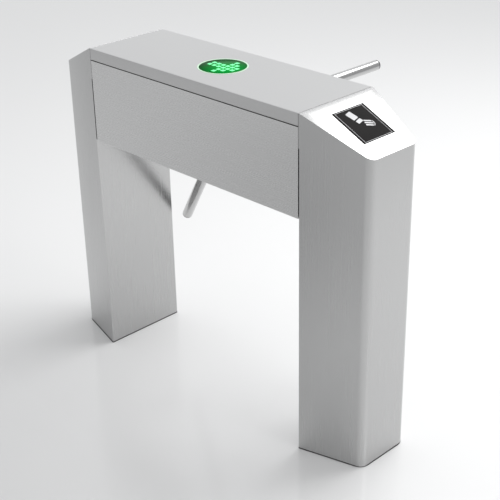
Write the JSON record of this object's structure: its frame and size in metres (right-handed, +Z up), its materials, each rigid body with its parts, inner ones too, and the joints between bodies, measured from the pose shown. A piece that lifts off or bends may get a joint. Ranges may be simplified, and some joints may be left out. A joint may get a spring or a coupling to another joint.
{
  "type": "visitor counter turnstile",
  "caption": "Waist-high tripod turnstile: two tapered pedestals carry a bridge with a lit direction display, card readers on the sloping ends and turning barrier arms.",
  "frame": {"origin": "centre of the floor footprint, on the floor", "axes": "+X along the cabinet, +Y towards the walkway the arms bar, +Z up"},
  "size_m": [1.2, 0.797, 0.9806],
  "materials": {
    "pedestal_steel": "brushed, upright grain",
    "bridge_steel": "brushed, lengthwise grain",
    "lid_steel": "brushed, lengthwise grain",
    "door_steel": "brushed, upright grain",
    "arm_steel": "polished tube",
    "hub_metal": "satin cast",
    "shaft_steel": "ground",
    "hard_steel": "blackened wheels and pawls",
    "zinc_steel": "zinc plated",
    "gear_brass": "machined",
    "lock_brass": "plated lock face",
    "reader_glass": "dark gloss window",
    "display_glass": "dark green window with lit dots",
    "display_glow": "lit rim",
    "black_plastic": "moulded",
    "grey_plastic": "moulded",
    "board_green": "circuit board",
    "cream_plastic": "moulded",
    "buffer_rubber": "soft black",
    "coil_paint": "dark painted frame"
  },
  "bodies": {
    "cabinet": {"near_pedestal_shell": "pedestal_steel", "far_pedestal_shell": "pedestal_steel", "bridge_shell": "bridge_steel", "base_plates": "zinc_steel", "reader_windows": "reader_glass", "reader_units": "black_plastic", "reader_frames": "black_plastic", "door_hinges": "zinc_steel", "cabinet_bolts": "zinc_steel", "cable_sleeves": "buffer_rubber", "lid_rests": "zinc_steel", "lid_buffers": "buffer_rubber", "lid_hinge_brackets": "zinc_steel", "front_plate": "zinc_steel", "rear_plate": "zinc_steel", "shaft_bearings": "shaft_steel", "mechanism_posts": "shaft_steel", "damper_unit": "black_plastic", "encoder_unit": "grey_plastic", "solenoids": "coil_paint", "index_lever": "hard_steel", "index_roller": "shaft_steel", "control_board": "board_green", "terminal_strip": "cream_plastic", "power_supply": "grey_plastic", "counter_bracket": "zinc_steel", "visitor_counter": "black_plastic", "counter_wheels": "cream_plastic"},
    "tripod": {"tripod_shaft": "shaft_steel", "shaft_nut": "shaft_steel", "tripod_hub": "hub_metal", "hub_screws": "zinc_steel", "hub_cap": "hub_metal", "level_arm": "arm_steel", "near_arm": "arm_steel", "far_arm": "arm_steel", "arm_caps": "arm_steel", "entry_ratchet": "hard_steel", "exit_ratchet": "hard_steel", "index_cam": "hard_steel", "tripod_gear": "gear_brass"},
    "damper_wheel": {"damper_pinion": "gear_brass"},
    "encoder_wheel": {"encoder_pinion": "gear_brass"},
    "entry_pawl": {"entry_pawl": "hard_steel"},
    "exit_pawl": {"exit_pawl": "hard_steel"},
    "entry_plunger": {"entry_plunger": "shaft_steel"},
    "exit_plunger": {"exit_plunger": "shaft_steel"},
    "lid": {"lid_shell": "lid_steel", "display_ring": "display_glow", "display_window": "display_glass", "display_cup": "black_plastic", "display_board": "board_green", "lid_goosenecks": "zinc_steel"},
    "near_lid_lock": {"near_lid_lock": "lock_brass"},
    "far_lid_lock": {"far_lid_lock": "lock_brass"},
    "near_door": {"near_door": "door_steel"},
    "far_door": {"far_door": "door_steel"},
    "near_door_lock": {"near_door_lock": "lock_brass"},
    "far_door_lock": {"far_door_lock": "lock_brass"}
  },
  "joints": [
    {"name": "tripod_turn", "type": "hinge", "parent": "cabinet", "child": "tripod", "pos_m": [0, 0.024, 0.834], "axis": [0, 0.7071, -0.7071], "continuous": true},
    {"name": "damper_turn", "type": "hinge", "parent": "cabinet", "child": "damper_wheel", "pos_m": [0.06, 0.00986, 0.84814], "axis": [0, 0.7071, -0.7071], "continuous": true},
    {"name": "encoder_turn", "type": "hinge", "parent": "cabinet", "child": "encoder_wheel", "pos_m": [-0.06, 0.00986, 0.84814], "axis": [0, 0.7071, -0.7071], "continuous": true},
    {"name": "entry_pawl_swing", "type": "hinge", "parent": "cabinet", "child": "entry_pawl", "pos_m": [0.06, -0.00428, 0.78875], "axis": [0, -0.7071, 0.7071], "range_deg": [0, 10], "stiffness_Nm_per_rad": 0.3, "springref_deg": -22.92},
    {"name": "exit_pawl_swing", "type": "hinge", "parent": "cabinet", "child": "exit_pawl", "pos_m": [-0.06, -0.01418, 0.79865], "axis": [0, 0.7071, -0.7071], "range_deg": [0, 10], "stiffness_Nm_per_rad": 0.3, "springref_deg": -22.92},
    {"name": "entry_plunger_slide", "type": "slide", "parent": "cabinet", "child": "entry_plunger", "axis": [0, 0.7071, 0.7071], "range_m": [0, 0.00543]},
    {"name": "exit_plunger_slide", "type": "slide", "parent": "cabinet", "child": "exit_plunger", "axis": [0, 0.7071, 0.7071], "range_m": [0, 0.00543]},
    {"name": "lid_lift", "type": "hinge", "parent": "cabinet", "child": "lid", "pos_m": [0, -0.113, 0.887], "axis": [1, 0, 0], "range_deg": [0, 90]},
    {"name": "near_lid_lock_turn", "type": "hinge", "parent": "lid", "child": "near_lid_lock", "pos_m": [0.25, 0.138, 0.963], "axis": [0, 1, 0], "range_deg": [0, 90]},
    {"name": "far_lid_lock_turn", "type": "hinge", "parent": "lid", "child": "far_lid_lock", "pos_m": [-0.25, 0.138, 0.963], "axis": [0, 1, 0], "range_deg": [0, 90]},
    {"name": "near_door_swing", "type": "hinge", "parent": "cabinet", "child": "near_door", "pos_m": [0.55449, 0.10504, 0.27], "axis": [0, 0, -1], "range_deg": [0, 100]},
    {"name": "near_door_lock_turn", "type": "hinge", "parent": "near_door", "child": "near_door_lock", "pos_m": [0.46353, 0.12402, 0.27], "axis": [0.2618, 0.9651, 0], "range_deg": [0, 90]},
    {"name": "far_door_swing", "type": "hinge", "parent": "cabinet", "child": "far_door", "pos_m": [-0.55449, 0.10504, 0.27], "axis": [0, 0, 1], "range_deg": [0, 100]},
    {"name": "far_door_lock_turn", "type": "hinge", "parent": "far_door", "child": "far_door_lock", "pos_m": [-0.46353, 0.12402, 0.27], "axis": [0.2618, -0.9651, 0], "range_deg": [0, 90]}
  ],
  "couplings": [
    {"joint": "damper_turn", "follows": "tripod_turn", "ratio": -3},
    {"joint": "encoder_turn", "follows": "tripod_turn", "ratio": -3},
    {"joint": "entry_plunger_slide", "follows": "entry_pawl_swing", "m_per_rad": 0.031139},
    {"joint": "exit_plunger_slide", "follows": "exit_pawl_swing", "m_per_rad": 0.031139}
  ]
}
